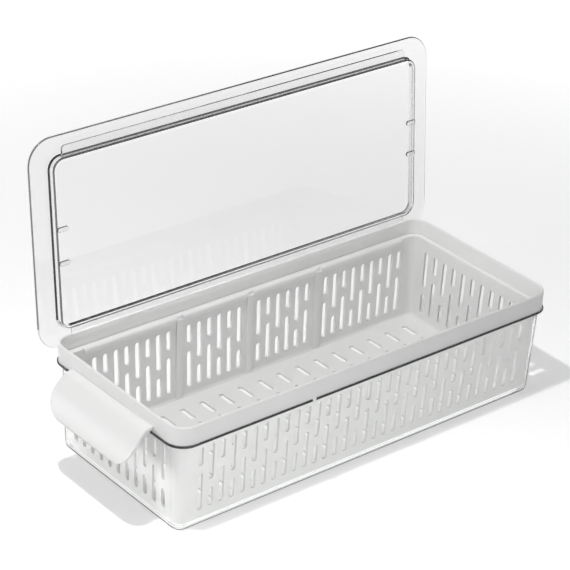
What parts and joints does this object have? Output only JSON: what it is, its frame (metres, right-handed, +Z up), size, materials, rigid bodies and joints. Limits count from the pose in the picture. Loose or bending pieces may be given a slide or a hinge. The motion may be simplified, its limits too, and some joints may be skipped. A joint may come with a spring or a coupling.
{
  "type": "produce storage bin",
  "caption": "Clear fridge produce bin holding a white slotted colander, topped by a white collar frame with an end pull handle and a clear lid that hooks over the rear rim.",
  "frame": {"origin": "middle of the bin's flat underside", "axes": "+Z up, +X along the bin away from the pull handle, +Y to the rear, where the open lid stands"},
  "size_m": [0.4156, 0.1841, 0.2573],
  "materials": {
    "clear_plastic": "clear gloss moulded plastic",
    "white_basket": "satin white moulded plastic",
    "white_frame": "satin white moulded plastic",
    "clear_lid": "clear gloss moulded plastic"
  },
  "bodies": {
    "bin": {"bin": "clear_plastic"},
    "colander": {"colander": "white_basket"},
    "frame": {"frame": "white_frame"},
    "lid": {"lid": "clear_lid"}
  },
  "joints": [
    {"name": "colander_lift", "type": "slide", "parent": "bin", "child": "colander", "axis": [0, 0, 1], "range_m": [0, 0.085]},
    {"name": "frame_lift", "type": "slide", "parent": "colander", "child": "frame", "axis": [0, 0, 1], "range_m": [0, 0.04]},
    {"name": "lid_turn", "type": "hinge", "parent": "frame", "child": "lid", "pos_m": [0, 0.0786, 0.0934], "axis": [1, 0, 0], "range_deg": [0, 95.8]}
  ]
}
